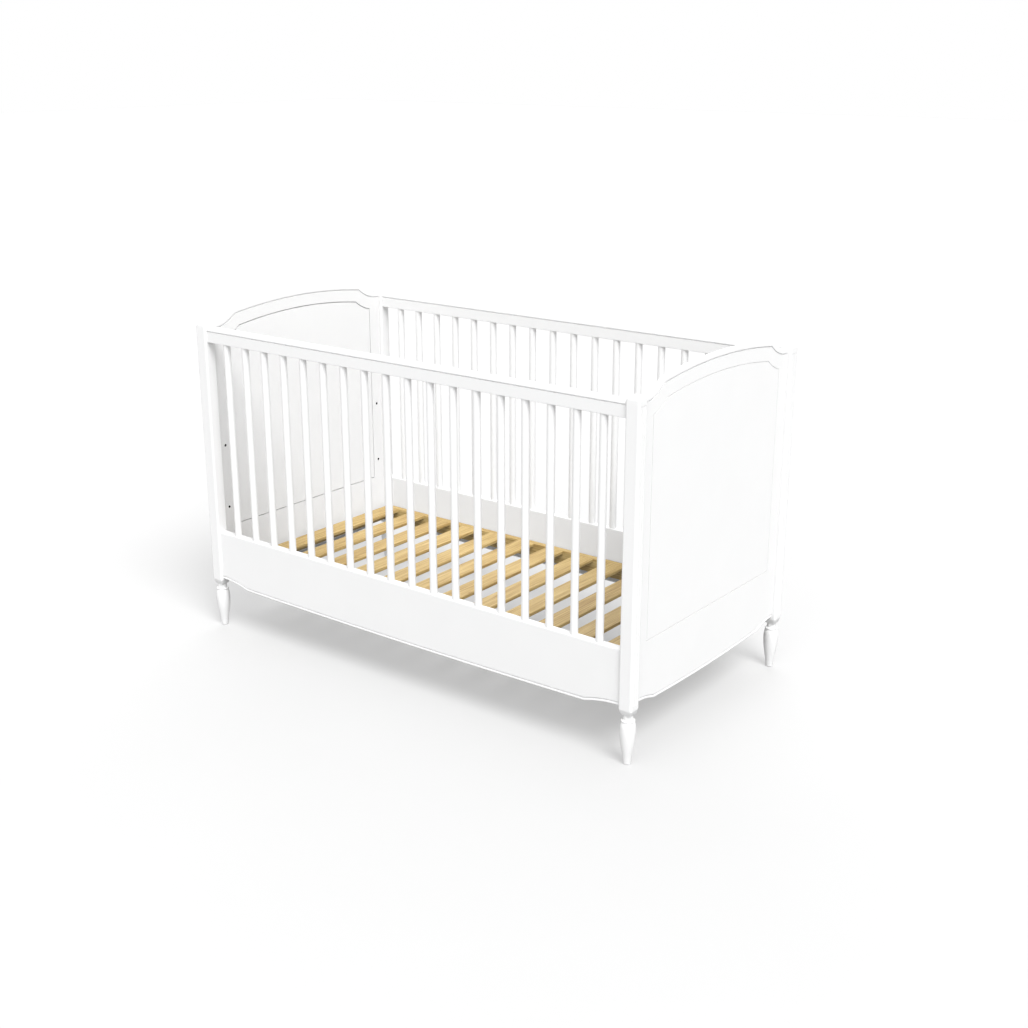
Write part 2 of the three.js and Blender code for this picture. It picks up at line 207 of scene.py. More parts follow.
def object_coords(tree, scale):
    place = tree.nodes.new("ShaderNodeTexCoord")
    stretch = tree.nodes.new("ShaderNodeMapping")
    stretch.inputs["Scale"].default_value = scale
    tree.links.new(place.outputs["Object"], stretch.inputs["Vector"])
    return stretch.outputs["Vector"]


def noise(tree, vector, scale, detail=2.0, distortion=0.0):
    texture = tree.nodes.new("ShaderNodeTexNoise")
    texture.inputs["Scale"].default_value = scale
    texture.inputs["Detail"].default_value = detail
    texture.inputs["Distortion"].default_value = distortion
    tree.links.new(vector, texture.inputs["Vector"])
    return texture.outputs["Fac"]


def ramp(tree, factor, stops):
    blend = tree.nodes.new("ShaderNodeValToRGB")
    elements = blend.color_ramp.elements
    while len(elements) < len(stops):
        elements.new(0.5)
    for element, (position, colour) in zip(elements, stops):
        element.position = position
        element.color = (*colour, 1.0)
    tree.links.new(factor, blend.inputs["Fac"])
    return blend.outputs["Color"]


def spread(tree, factor, low, high):
    fit = tree.nodes.new("ShaderNodeMapRange")
    fit.inputs["To Min"].default_value = low
    fit.inputs["To Max"].default_value = high
    tree.links.new(factor, fit.inputs["Value"])
    return fit.outputs["Result"]


# The colour that is seen, and the one that the piece throws on its neighbours.
def two_colours(tree, shader, seen, thrown):
    ray = tree.nodes.new("ShaderNodeLightPath")
    either = tree.nodes.new("ShaderNodeMix")
    either.data_type = "RGBA"
    either.inputs["B"].default_value = (*thrown, 1.0)
    tree.links.new(ray.outputs["Is Diffuse Ray"], either.inputs["Factor"])
    tree.links.new(seen, either.inputs["A"])
    tree.links.new(either.outputs["Result"], shader.inputs["Base Color"])


def relief(tree, shader, height, strength, distance):
    bump = tree.nodes.new("ShaderNodeBump")
    bump.inputs["Strength"].default_value = strength
    bump.inputs["Distance"].default_value = distance
    tree.links.new(height, bump.inputs["Height"])
    tree.links.new(bump.outputs["Normal"], shader.inputs["Normal"])


print("materials that came with the frame:", len(bpy.data.materials))

# %% [markdown]
# **White lacquer.** A cot is sprayed: several satin coats over sanded wood. The colour is
# almost even, but the film is not glass. It has a very fine orange peel, and the rubbing
# between coats leaves it a little glossier in some places. Noise drives all three, each
# within a narrow range, because a strong pattern would look like plaster.

# %% White lacquer
COAT_CLOUDS = 9.0
COAT_COLOURS = [(0.3, (0.800, 0.801, 0.801)), (0.7, (0.810, 0.811, 0.811))]
COAT_THROWN = (0.68, 0.68, 0.68)
RUBBED_PATCHES = 22.0
COAT_ROUGHNESS = (0.38, 0.46)
ORANGE_PEEL = 700.0
PEEL_RELIEF = (0.12, 0.0004)

white_lacquer, tree, shader = new_finish("white_lacquer", 0.4)
even = object_coords(tree, EVEN)
coat_colour = ramp(tree, noise(tree, even, COAT_CLOUDS, 3.0), COAT_COLOURS)
two_colours(tree, shader, coat_colour, COAT_THROWN)
gloss = spread(tree, noise(tree, even, RUBBED_PATCHES), *COAT_ROUGHNESS)
tree.links.new(gloss, shader.inputs["Roughness"])
relief(tree, shader, noise(tree, even, ORANGE_PEEL), *PEEL_RELIEF)
print("finish:", white_lacquer.name)

# %% [markdown]
# **Oiled pine.** Sawn along the trunk, pine shows its growth rings as long streaks that run
# with the board, pale spring wood between darker lines, with finer fibres inside them. The
# pattern is noise that is drawn out along the grain, and folded back and forth so that one
# slow wave makes several rings. Each board is cut from another place, so a number that is
# stored on each board slides the pattern for it alone.

# %% Pine with its grain along a direction
GRAIN_DRAWN_OUT = 0.022
CUT_SHIFT = (3.1, 0.9, 1.7)
RING_SCALE = 78.0
RING_BEND = 1.2
RING_FOLD = 0.11
FOLD_TO_ONE = 9.0
RING_COLOURS = [(0.0, (0.40, 0.250, 0.082)), (0.18, (0.51, 0.355, 0.130)),
                (0.60, (0.60, 0.440, 0.183)), (1.0, (0.63, 0.470, 0.205))]
FIBRE_SCALE = 420.0
FIBRE_TINTS = [(0.38, (0.80, 0.75, 0.68)), (0.58, (1.0, 1.0, 1.0))]
FIBRE_ROUGHNESS = (0.62, 0.48)
FIBRE_RELIEF = (0.15, 0.0005)
TONE_SCALE = 9.0
TONE_TINTS = [(0.3, (0.95, 0.93, 0.90)), (0.7, (1.0, 1.0, 1.0))]
PINE_THROWN = (0.40, 0.38, 0.35)


def pine(name, along):
    finish, tree, shader = new_finish(name, 0.55)
    drawn_out = [1.0, 1.0, 1.0]
    drawn_out[along] = GRAIN_DRAWN_OUT
    grain = object_coords(tree, drawn_out)
    board = tree.nodes.new("ShaderNodeAttribute")
    board.attribute_name = "board"
    shift = tree.nodes.new("ShaderNodeVectorMath")
    shift.operation = "MULTIPLY_ADD"
    shift.inputs[1].default_value = CUT_SHIFT
    tree.links.new(board.outputs["Vector"], shift.inputs[0])
    tree.links.new(grain, shift.inputs[2])
    vector = shift.outputs["Vector"]
    rings = noise(tree, vector, RING_SCALE, 2.0, RING_BEND)
    bands = tree.nodes.new("ShaderNodeMath")
    bands.operation = "PINGPONG"
    bands.inputs[1].default_value = RING_FOLD
    tree.links.new(rings, bands.inputs[0])
    wood = ramp(tree, spread(tree, bands.outputs["Value"], 0.0, FOLD_TO_ONE), RING_COLOURS)
    fibres = noise(tree, vector, FIBRE_SCALE, 4.0)
    tint = ramp(tree, fibres, FIBRE_TINTS)
    tone = ramp(tree, noise(tree, vector, TONE_SCALE, 1.0), TONE_TINTS)
    for layer in (tint, tone):
        mix = tree.nodes.new("ShaderNodeMix")
        mix.data_type = "RGBA"
        mix.blend_type = "MULTIPLY"
        mix.inputs["Factor"].default_value = 1.0
        tree.links.new(wood, mix.inputs["A"])
        tree.links.new(layer, mix.inputs["B"])
        wood = mix.outputs["Result"]
    two_colours(tree, shader, wood, PINE_THROWN)
    tree.links.new(spread(tree, fibres, *FIBRE_ROUGHNESS), shader.inputs["Roughness"])
    relief(tree, shader, fibres, *FIBRE_RELIEF)
    return finish


pine_across = pine("pine_across", 1)
pine_along = pine("pine_along", 0)
print("finishes:", pine_across.name, pine_along.name)

# %% [markdown]
# **Zinc-plated steel.** The bolts are bright plated: a grey metal whose gloss changes over a
# few millimetres, from the crystals of the plating.

# %% Zinc-plated steel
CRYSTAL_SCALE = 380.0
PLATE_COLOURS = [(0.3, (0.56, 0.58, 0.60)), (0.7, (0.74, 0.75, 0.76))]
PLATE_ROUGHNESS = (0.28, 0.46)
PLATE_RELIEF = (0.08, 0.0002)

zinc, tree, shader = new_finish("zinc_plated_steel", 0.35)
shader.inputs["Metallic"].default_value = 1.0
crystals = noise(tree, object_coords(tree, EVEN), CRYSTAL_SCALE, 3.0)
tree.links.new(ramp(tree, crystals, PLATE_COLOURS), shader.inputs["Base Color"])
tree.links.new(spread(tree, crystals, *PLATE_ROUGHNESS), shader.inputs["Roughness"])
relief(tree, shader, crystals, *PLATE_RELIEF)
print("finish:", zinc.name)

# %% [markdown]
# A finished piece has its material, smooth shading that breaks at the sharp edges, a body that
# it moves with, and the plain solids that it stands for. One helper gives it all four, so that
# none is forgotten.

# %% Give a piece its finish and its body


def finish_piece(made, finish, slot, body, *nodes):
    made.data.materials.clear()
    made.data.materials.append(finish)
    shade(made.data)
    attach(made, body)
    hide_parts(*nodes)
    print(f"{made.name}: {len(made.data.polygons)} faces, stands for {len(nodes)} solids")


print("solids that pieces will stand for:", len(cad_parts))

# %% [markdown]
# ## Posts
# A post is a square bar with rounded upright edges, three flutes routed in the face that
# looks away from the cot, a low dome on top and a short pyramid underneath. It is skinned
# from the foot up. The flutes are part of the section: at each height the points on that face
# are pushed in by what a round cutter would take there, which also gives them round ends.
# The pyramid and the dome scale that section, in small steps where an edge is softened.

# %% Post sections
POST_EDGE = 5.0
TAPER_TOP = POST_FOOT + 13.5
TAPER_SHARE = 0.78
DOME = 33.0
FLUTE_RADIUS = 2.6
FLUTE_DEPTH = 2.3
FLUTE_PITCH = 8.5
FLUTE_FOOT = POST_FOOT + 27.0
FLUTE_TOP = POST_TOP - 24.0
PLAIN_ABOVE = 3.0
PYRAMID = [(TAPER_SHARE - 0.015, POST_FOOT), (TAPER_SHARE, POST_FOOT + 0.3),
           (0.985, TAPER_TOP - 0.6), (0.997, TAPER_TOP), (1.0, TAPER_TOP + 0.8),
           (1.0, TAPER_TOP + 1.6)]
DOME_RIM = [(1.0, 1.6), (0.996, 0.8), (0.985, 0.3), (0.965, 0.06)]
DOME_SHARES = [0.93, 0.82, 0.68, 0.52, 0.36, 0.2, 0.08]


def fluted_face():
    half_chord = math.sqrt(FLUTE_RADIUS ** 2 - (FLUTE_RADIUS - FLUTE_DEPTH) ** 2)
    offsets = []
    for flute in (-1, 0, 1):
        steps = [half_chord * math.sin(math.radians(a)) for a in range(-90, 91, 15)]
        offsets += [flute * FLUTE_PITCH + step for step in steps]
    return offsets


def flute_cut(y, z):
    nearest = FLUTE_PITCH * max(-1, min(1, round(y / FLUTE_PITCH)))
    middle_low = FLUTE_FOOT + FLUTE_RADIUS
    middle_high = FLUTE_TOP - FLUTE_RADIUS
    past_end = max(middle_low - z, z - middle_high, 0.0)
    left = FLUTE_RADIUS ** 2 - past_end ** 2 - (y - nearest) ** 2
    if left <= 0:
        return 0.0
    return max(0.0, math.sqrt(left) - (FLUTE_RADIUS - FLUTE_DEPTH))


def post_section(z):
    loop = eased_section(POST_X / 2, POST_Y / 2, POST_EDGE)
    face = [(POST_X / 2 - flute_cut(y, z), y) for y in fluted_face()]
    return loop + face


def dome_height(x, y):
    return POST_TOP - DOME + math.sqrt(DOME ** 2 - x ** 2 - y ** 2)


print("points in a post's section:", len(post_section(500)))

# %% Make the four posts
NAMES_X = {-1: "left", 1: "right"}
NAMES_Y = {-1: "front", 1: "back"}


def post_rings():
    rings = [[(x * share, y * share, z) for x, y in post_section(z)] for share, z in PYRAMID]
    round_end = [FLUTE_RADIUS * (1 - math.cos(math.radians(a))) for a in range(0, 91, 9)]
    heights = [FLUTE_FOOT + rise for rise in round_end]
    heights += [FLUTE_TOP - rise for rise in reversed(round_end)]
    heights.append(FLUTE_TOP + PLAIN_ABOVE)
    for z in heights:
        rings.append([(x, y, z) for x, y in post_section(z)])
    section = post_section(POST_TOP)
    for share, drop in DOME_RIM + [(share, 0.0) for share in DOME_SHARES]:
        rings.append([(x * share, y * share, dome_height(x * share, y * share) - drop)
                      for x, y in section])
    return rings


for side_x, end_name in NAMES_X.items():
    for side_y, side_name in NAMES_Y.items():
        name = f"{side_name}_{end_name}"
        rings = [[(side_x * (POST_AT_X + x), side_y * POST_AT_Y + y, z) for x, y, z in ring]
                 for ring in post_rings()]
        made = piece(f"fluted_post_{name}", mesh_from_rings("post", rings))
        finish_piece(made, white_lacquer, "white_paint", "crib_frame", f"post_{name}")

# %% [markdown]
# ## Legs
# The legs are turned: a small rounded foot, a long vase that swells to the shoulder, a thin
# ring, and a narrow neck under the post. A turner works from a few diameters and lets the
# tool flow between them, so the profile is a smooth curve through those diameters, and the
# ring and the neck are cut in with short round steps. A place on the profile is written as
# (distance from the axis, height), and a round adds its own radius to that.

# %% Turn the legs
LEG_SIDES = 56
VASE = [(9.8, 2.6), (11.8, 20), (15.3, 41), (18.3, 61), (19.9, 79), (20.2, 91), (19.5, 103),
        (16.9, 112.2)]
FOOT_ROUND = ((7.3, 2.5), 2.5)
RING_FOOT = (15.5, 113.2)
RING_ROUND = ((15.6, 116.1), 2.3)
COVE_ROUND = ((15.1, 120.9), 2.5)
NECK_RADIUS = 12.6
NECK_FOOT = 122.0


def flowing(knots, steps):
    ends = [knots[0], *knots, knots[-1]]
    points = []
    for before, start, end, after in zip(ends, ends[1:], ends[2:], ends[3:]):
        for i in range(steps):
            t = i / steps
            points.append(tuple(
                0.5 * (2 * b + (c - a) * t + (2 * a - 5 * b + 4 * c - d) * t * t
                       + (3 * b - a - 3 * c + d) * t ** 3)
                for a, b, c, d in zip(before, start, end, after)))
    points.append(knots[-1])
    return points


def leg_profile():
    foot = arc(*FOOT_ROUND, -90, -6, 5)
    ring = arc(*RING_ROUND, -78, 78, 8)
    cove = arc(*COVE_ROUND, 260, 180, 5)
    neck = [(NECK_RADIUS, NECK_FOOT), (NECK_RADIUS, POST_FOOT)]
    return [*foot, *flowing(VASE, 4), RING_FOOT, *ring, *cove, *neck]


def turned_rings(profile):
    return [[(radius * u, radius * v, z) for u, v in unit_circle(LEG_SIDES)]
            for radius, z in profile]


for side_x, end_name in NAMES_X.items():
    for side_y, side_name in NAMES_Y.items():
        name = f"{side_name}_{end_name}"
        rings = [[(side_x * POST_AT_X + x, side_y * POST_AT_Y + y, z) for x, y, z in ring]
                 for ring in turned_rings(leg_profile())]
        made = piece(f"turned_leg_{name}", mesh_from_rings("leg", rings))
        finish_piece(made, white_lacquer, "white_paint", "crib_frame", f"leg_{name}")

# %% [markdown]
# ## Boards with a routed line
# The top rails, the aprons and the end panels are boards whose edges are worked with a
# router: a rounded edge, and a narrow line that follows it a little way in. So an edge is
# described as points of (across the board, in from the edge), and the same points are carried
# along whatever curve the edge has. A bead is an edge whose round goes on past the face and
# turns back in, down into the line above it.

# %% Describe a worked edge
LINE_RADIUS = 1.5
LINE_DEPTH = 3.6
BEAD_RADIUS = 3.75
BEAD_TURN = 60
END_LET_IN = 0.2


def worked_edge(half, radius, line=None, bead=False):
    right = [(half - radius - BESIDE, 0.0)] if half - radius > BESIDE else []
    right += arc((half - radius, radius), radius, -90, BEAD_TURN if bead else 0, 9)
    if line is not None:
        if not bead:
            right.append((half, line - LINE_RADIUS - BESIDE))
            right.append((half, line - LINE_RADIUS))
        right += arc((half - LINE_DEPTH + LINE_RADIUS, line), LINE_RADIUS, 270, 90, 6)
        right.append((half, line + LINE_RADIUS))
        right.append((half, line + LINE_RADIUS + BESIDE))
    else:
        right.append((half, radius + BESIDE))
    left = [(-across, inward) for across, inward in reversed(right)]
    return left + right


# A board between a lower and an upper edge. An edge's curve gives, for a distance in from
# it, the points (along the board, height) that the line at that distance runs through.
def board_rings(lower_curve, lower_edge, upper_curve, upper_edge):
    low = [(across, lower_curve(inward)) for across, inward in lower_edge]
    high = [(across, upper_curve(inward)) for across, inward in reversed(upper_edge)]
    stations = len(low[0][1])
    return [[(across, *curve[i]) for across, curve in low + high] for i in range(stations)]


def stations(corners, steps):
    places = []
    for start, end, count in zip(corners, corners[1:], steps):
        places += [start + (end - start) * i / count for i in range(count)]
    return [*places, corners[-1]]


print("worked edge of a rail:", len(worked_edge(RAIL_THICK / 2, 11, 13)), "points")

# %% [markdown]
# ## Top rails
# A parent leans on this rail, so its top is fully round, with a routed line low on each face
# where the round begins. Its lower edges are only eased, because the spindles go in there.

# %% Make the top rails
RAIL_ROUND = 11.0
RAIL_LINE = 13.0
RAIL_EASED = 1.5


def straight_rail():
    ends = (-SIDE_END - END_LET_IN, SIDE_END + END_LET_IN)
    return board_rings(
        lambda inward: [(x, RAIL_FOOT + inward) for x in ends],
        worked_edge(RAIL_THICK / 2, RAIL_EASED),
        lambda inward: [(x, RAIL_TOP - inward) for x in ends],
        worked_edge(RAIL_THICK / 2, RAIL_ROUND, RAIL_LINE))


def side_board(name, rings, side_y):
    turned = [[(along, side_y * POST_AT_Y + across, z) for across, along, z in ring]
              for ring in rings]
    return piece(name, mesh_from_rings(name, turned))


for side_y, side_name in NAMES_Y.items():
    made = side_board(f"round_top_rail_{side_name}", straight_rail(), side_y)
    finish_piece(made, white_lacquer, "white_paint", "crib_frame", f"top_rail_{side_name}")

# %% [markdown]
# ## Aprons
# The deep boards under the spindles hang a little below the posts in the middle. The lower
# edge bows up very slightly, and steps up beside each post in a quarter curve that flattens
# towards the post. Its edge is a bead with a routed line above it, and the upper edge is a
# ledge with its corners rounded.

# %% Make the aprons
APRON_BOW = 5.0
APRON_RUN = 102.0
APRON_RISE = 16.0
APRON_EASED = 3.0
FOOT_LINE = 9.0
SHOULDER_STEPS = 14
CROWN_STEPS = 36


def stepped(out, kink, run, bow, rise):
    if out <= kink:
        return bow * (out / kink) ** 2
    along = min(1.0, (out - kink) / run)
    return bow + rise * (1 - (1 - along) ** 2)


def apron_rings():
    kink = SIDE_END - APRON_RUN
    end = SIDE_END + END_LET_IN
    steps = (SHOULDER_STEPS, CROWN_STEPS, SHOULDER_STEPS)
    places = stations((-end, -kink, kink, end), steps)

    def lower(inward):
        return [(x, APRON_FOOT + inward + stepped(abs(x), kink, APRON_RUN, APRON_BOW, APRON_RISE))
                for x in places]

    def upper(inward):
        return [(x, APRON_TOP - inward) for x in places]

    return board_rings(lower, worked_edge(RAIL_THICK / 2, BEAD_RADIUS, FOOT_LINE, bead=True),
                       upper, worked_edge(RAIL_THICK / 2, APRON_EASED))


for side_y, side_name in NAMES_Y.items():
    made = side_board(f"shaped_apron_{side_name}", apron_rings(), side_y)
    finish_piece(made, white_lacquer, "white_paint", "crib_frame", f"apron_{side_name}")

# %% [markdown]
# ## End panels
# Each end is one broad board. Its top is crowned between two corners and falls to the posts
# in a hollow shoulder, and its foot is bowed the same way as the aprons. The board is skinned
# like them. The frame line on both faces and the bolt holes cross its plain middle, so those
# are cut afterwards with cutters, the way the shop does it.

# %% Shape the end panels
PANEL_CROWN = 19.0
PANEL_RUN = 80.0
PANEL_GAP = 3.0
PANEL_DROP = 31.5
PANEL_BOW = 6.0
PANEL_RISE = 15.0
PANEL_ROUND = 6.5
PANEL_LINE = 12.5
CORNER_SHIFT = 0.4
PANEL_KINK = END_END - PANEL_GAP - PANEL_RUN
PANEL_STEPS = (SHOULDER_STEPS, CROWN_STEPS, SHOULDER_STEPS)


def crown_line(inward, end):
    kink = PANEL_KINK - CORNER_SHIFT * inward
    points = []
    for y in stations((-end, -kink, kink, end), PANEL_STEPS):
        out = abs(y)
        fall = PANEL_CROWN * min(1.0, out / kink) ** 2
        if out > kink:
            along = min(1.0, (out - kink) / PANEL_RUN)
            fall += PANEL_DROP * (1 - (1 - along) ** 2)
        points.append((y, PANEL_TOP - inward - fall))
    return points


def foot_line(inward, end):
    places = stations((-end, -PANEL_KINK, PANEL_KINK, end), PANEL_STEPS)
    return [(y, PANEL_FOOT + inward
             + stepped(abs(y), PANEL_KINK, PANEL_RUN, PANEL_BOW, PANEL_RISE)) for y in places]


def panel_rings():
    end = END_END + END_LET_IN
    return board_rings(lambda inward: foot_line(inward, end),
                       worked_edge(PANEL_THICK / 2, BEAD_RADIUS, FOOT_LINE, bead=True),
                       lambda inward: crown_line(inward, end),
                       worked_edge(PANEL_THICK / 2, PANEL_ROUND, PANEL_LINE))


print("a panel has", len(panel_rings()), "rings of", len(panel_rings()[0]), "points")

# %% Cutters for the frame line and the bolt holes
FIELD_INSET = 48.5
FIELD_SIDE = END_END - 43.0
FIELD_FOOT = PANEL_FOOT + 171.0
HOLE_ROWS = 3
HOLE_PITCH = 187.5
HOLE_DEPTH = 12.0
HOLE_RADIUS = 4.0
HOLE_SIDES = 28
# The frame line's width and depth. The inner faces are lit from more sides, so the line is
# cut deeper there to read as clearly.
INSIDE_LINE = (2.8, 7.0)
OUTSIDE_LINE = (1.8, 1.7)
OUTSIDE_THE_FACE = 1.0
bolt_low, bolt_high = solid_box("base_bolt_back_right")
BOLT_Y = (bolt_low[1] + bolt_high[1]) / 2
BOLT_Z = (bolt_low[2] + bolt_high[2]) / 2


def field_loop(out):
    side = FIELD_SIDE + out
    top = crown_line(FIELD_INSET - out, side)
    foot = FIELD_FOOT - out
    return [*top, (side, foot), (-side, foot)]


# The groove is a wedge whose floor is two thirds as wide as its mouth. Every cutter starts a
# little outside the face, so that the two never share a plane.
def frame_cutter(face, inward, width, depth):
    section = [(width / 2, 0.0), (width / 2, -OUTSIDE_THE_FACE), (-width / 2, -OUTSIDE_THE_FACE),
               (-width / 2, 0.0), (-width / 3, depth), (width / 3, depth)]
    rings = [[(face + inward * d, y, z) for y, z in field_loop(out)] for out, d in section]
    return mesh_from_rings("frame_cutter", rings, wraps=True)


def hole_cutter(x_from, x_to, y, z):
    circle = [(HOLE_RADIUS * u, HOLE_RADIUS * v) for u, v in unit_circle(HOLE_SIDES)]
    return mesh_from_rings("hole_cutter", [[(x, y + u, z + v) for u, v in circle]
                                           for x in (x_from, x_to)])


def cut_away(made, cutters):
    for cutter in cutters:
        tool = piece("cutter", cutter)
        cut = made.modifiers.new("cut", "BOOLEAN")
        cut.solver = "EXACT"
        cut.object = tool
        view = bpy.context.evaluated_depsgraph_get()
        result = bpy.data.meshes.new_from_object(made.evaluated_get(view))
        made.modifiers.remove(cut)
        made.data = result
        bpy.data.objects.remove(tool)


print(f"frame line: {len(field_loop(0.0))} corners, bolt holes at {BOLT_Y:.1f}, {BOLT_Z:.1f}")

# %% Make the end panels
for side_x, end_name in NAMES_X.items():
    middle = side_x * POST_AT_X
    rings = [[(middle + across, y, z) for across, y, z in ring] for ring in panel_rings()]
    made = piece(f"crowned_panel_{end_name}", mesh_from_rings("panel", rings))
    inner = middle - side_x * PANEL_THICK / 2
    outer = middle + side_x * PANEL_THICK / 2
    cutters = [frame_cutter(inner, side_x, *INSIDE_LINE),
               frame_cutter(outer, -side_x, *OUTSIDE_LINE)]
    for row in range(HOLE_ROWS):
        for side_y in NAMES_Y:
            cutters.append(hole_cutter(inner - side_x * OUTSIDE_THE_FACE,
                                       inner + side_x * HOLE_DEPTH,
                                       side_y * BOLT_Y, BOLT_Z + row * HOLE_PITCH))
    cut_away(made, cutters)
    finish_piece(made, white_lacquer, "white_paint", "crib_frame", f"end_panel_{end_name}")

# %% [markdown]
# ## Threaded inserts
# The bolts screw into steel inserts that are pressed into the holes of the end panels, three
# heights at each corner. Each is a thin sleeve, closed at its inner end, and its near-black
# colour is painted shade, so a free hole looks dark. Its wall is a section that is turned round
# the hole's own line. The steel's colour is that painted shade, with a fine relief, because a
# few turns of thread catch what light gets in.

# %% Steel painted near-black as shade
THREAD_SCALE = 500.0
# The near-black colour is painted shade, for the dark inside of a bolt hole.
PAINTED_SHADE_COLOURS = [(0.3, (0.045, 0.045, 0.047)), (0.7, (0.075, 0.075, 0.078))]
SLEEVE_ROUGHNESS = (0.42, 0.60)
THREAD_RELIEF = (0.2, 0.0003)

painted_shade_steel, tree, shader = new_finish("steel_painted_shade", 0.5)
shader.inputs["Metallic"].default_value = 1.0
threads = noise(tree, object_coords(tree, EVEN), THREAD_SCALE)
tree.links.new(ramp(tree, threads, PAINTED_SHADE_COLOURS), shader.inputs["Base Color"])
tree.links.new(spread(tree, threads, *SLEEVE_ROUGHNESS), shader.inputs["Roughness"])
relief(tree, shader, threads, *THREAD_RELIEF)
print("finish:", painted_shade_steel.name)

# %% Make the inserts
SLEEVE_WALL = 0.28
SLEEVE_SET_BACK = 0.5
SLEEVE_SHORT = 0.1
SLEEVE_PRESSED = 0.05
SLEEVE_FLOOR = 0.3
# The lip is a small bevel: how far it goes into the bore, and how much wider it is there.
SLEEVE_LIP = (0.3, 0.1)
SLEEVE_MIDDLE = 0.4


def sleeve_rings(face, inward, y, z):
    open_end = face + inward * SLEEVE_SET_BACK
    closed_end = face + inward * (HOLE_DEPTH - SLEEVE_SHORT)
    inside_end = closed_end - inward * SLEEVE_FLOOR
    bore = HOLE_RADIUS - SLEEVE_WALL
    outside = HOLE_RADIUS + SLEEVE_PRESSED
    profile = [(inside_end, SLEEVE_MIDDLE), (inside_end, bore),
               (open_end + inward * SLEEVE_LIP[0], bore), (open_end, bore + SLEEVE_LIP[1]),
               (open_end, outside), (closed_end, outside), (closed_end, SLEEVE_MIDDLE)]
    return [[(x, y + radius * u, z + radius * v) for u, v in unit_circle(HOLE_SIDES)]
            for x, radius in profile]


for side_x, end_name in NAMES_X.items():
    inner = side_x * (POST_AT_X - PANEL_THICK / 2)
    sleeves = bmesh.new()
    for row in range(HOLE_ROWS):
        for side_y in NAMES_Y:
            one = mesh_from_rings("sleeve", sleeve_rings(inner, side_x, side_y * BOLT_Y,
                                                         BOLT_Z + row * HOLE_PITCH))
            sleeves.from_mesh(one)
    mesh = bpy.data.meshes.new("sleeves")
    sleeves.to_mesh(mesh)
    sleeves.free()
    made = piece(f"threaded_inserts_{end_name}", mesh)
    # The sleeves carry the painted shade that makes each free hole look dark.
    finish_piece(made, painted_shade_steel, "zinc_steel", "crib_frame")

# %% [markdown]
# ## Geometry Nodes for what repeats
# Spindles, slats and bolts are one shape set out at an even pitch, which is what a node tree
# is good at: one tree each, with its sizes as named inputs. The helper below makes a tree with
# its inputs, another runs it once and keeps the plain mesh that comes out.

# %% Build and run a node tree


def new_tree(name, inputs):
    tree = bpy.data.node_groups.new(name, "GeometryNodeTree")
    for label, kind in inputs.items():
        tree.interface.new_socket(label, in_out="INPUT", socket_type=kind)
    tree.interface.new_socket("Geometry", in_out="OUTPUT", socket_type="NodeSocketGeometry")
    entry = tree.nodes.new("NodeGroupInput")
    leave = tree.nodes.new("NodeGroupOutput")
    return tree, entry, leave


def add_node(tree, kind, settings=(), **wired):
    node = tree.nodes.new(kind)
    for setting, value in settings:
        setattr(node, setting, value)
    for label, value in wired.items():
        socket = node.inputs[label.replace("_", " ")]
        if isinstance(value, bpy.types.NodeSocket):
            tree.links.new(value, socket)
        else:
            socket.default_value = value
    return node


def end_tree(tree, entry, leave, geometry):
    real = add_node(tree, "GeometryNodeRealizeInstances", Geometry=geometry)
    coated = add_node(tree, "GeometryNodeSetMaterial", Geometry=real.outputs["Geometry"],
                      Material=entry.outputs["Finish"])
    tree.links.new(coated.outputs["Geometry"], leave.inputs["Geometry"])


def run_tree(name, tree, values):
    made = piece(name, bpy.data.meshes.new(name))
    steps = made.modifiers.new("make", "NODES")
    steps.node_group = tree
    sockets = {item.name: item.identifier for item in tree.interface.items_tree}
    for label, value in values.items():
        steps[sockets[label]] = value
    view = bpy.context.evaluated_depsgraph_get()
    result = bpy.data.meshes.new_from_object(made.evaluated_get(view))
    made.modifiers.remove(steps)
    made.data = result
    print(f"{name}: {len(result.vertices)} points from the tree {tree.name}")
    return made


def axis_vector(tree, **parts):
    return add_node(tree, "ShaderNodeCombineXYZ", **parts).outputs["Vector"]


print("node trees before the first of these:", len(bpy.data.node_groups))

# %% [markdown]
# ## Spindles
# Plain round rods, glued into holes in the apron and the rail. A line of points marks where
# the holes are, and a circle drawn along an upright line is the rod.

# %% Set out the spindles
first_low, first_high = solid_box("spindle_front_01")
last_high = solid_box("spindle_front_18")[1]
SPINDLES = 18
SPINDLE_SIDES = 40
SPINDLE_LET_IN = 2.0
SPINDLE_RADIUS = (first_high[0] - first_low[0]) / 2
SPINDLE_START = (first_high[0] + first_low[0]) / 2
SPINDLE_PITCH = (last_high[0] - first_high[0]) / (SPINDLES - 1)

spindle_tree, entry, leave = new_tree("spindle_row", {
    "Count": "NodeSocketInt", "Start": "NodeSocketVector", "Pitch": "NodeSocketFloat",
    "Radius": "NodeSocketFloat", "Length": "NodeSocketFloat", "Finish": "NodeSocketMaterial"})
holes = add_node(spindle_tree, "GeometryNodeMeshLine", Count=entry.outputs["Count"],
                 Start_Location=entry.outputs["Start"],
                 Offset=axis_vector(spindle_tree, X=entry.outputs["Pitch"]))
upright = add_node(spindle_tree, "GeometryNodeCurvePrimitiveLine",
                   End=axis_vector(spindle_tree, Z=entry.outputs["Length"]))
circle = add_node(spindle_tree, "GeometryNodeCurvePrimitiveCircle", Resolution=SPINDLE_SIDES,
                  Radius=entry.outputs["Radius"])
rod = add_node(spindle_tree, "GeometryNodeCurveToMesh", Curve=upright.outputs["Curve"],
               Profile_Curve=circle.outputs["Curve"], Fill_Caps=True)
rods = add_node(spindle_tree, "GeometryNodeInstanceOnPoints", Points=holes.outputs["Mesh"],
                Instance=rod.outputs["Mesh"])
end_tree(spindle_tree, entry, leave, rods.outputs["Instances"])

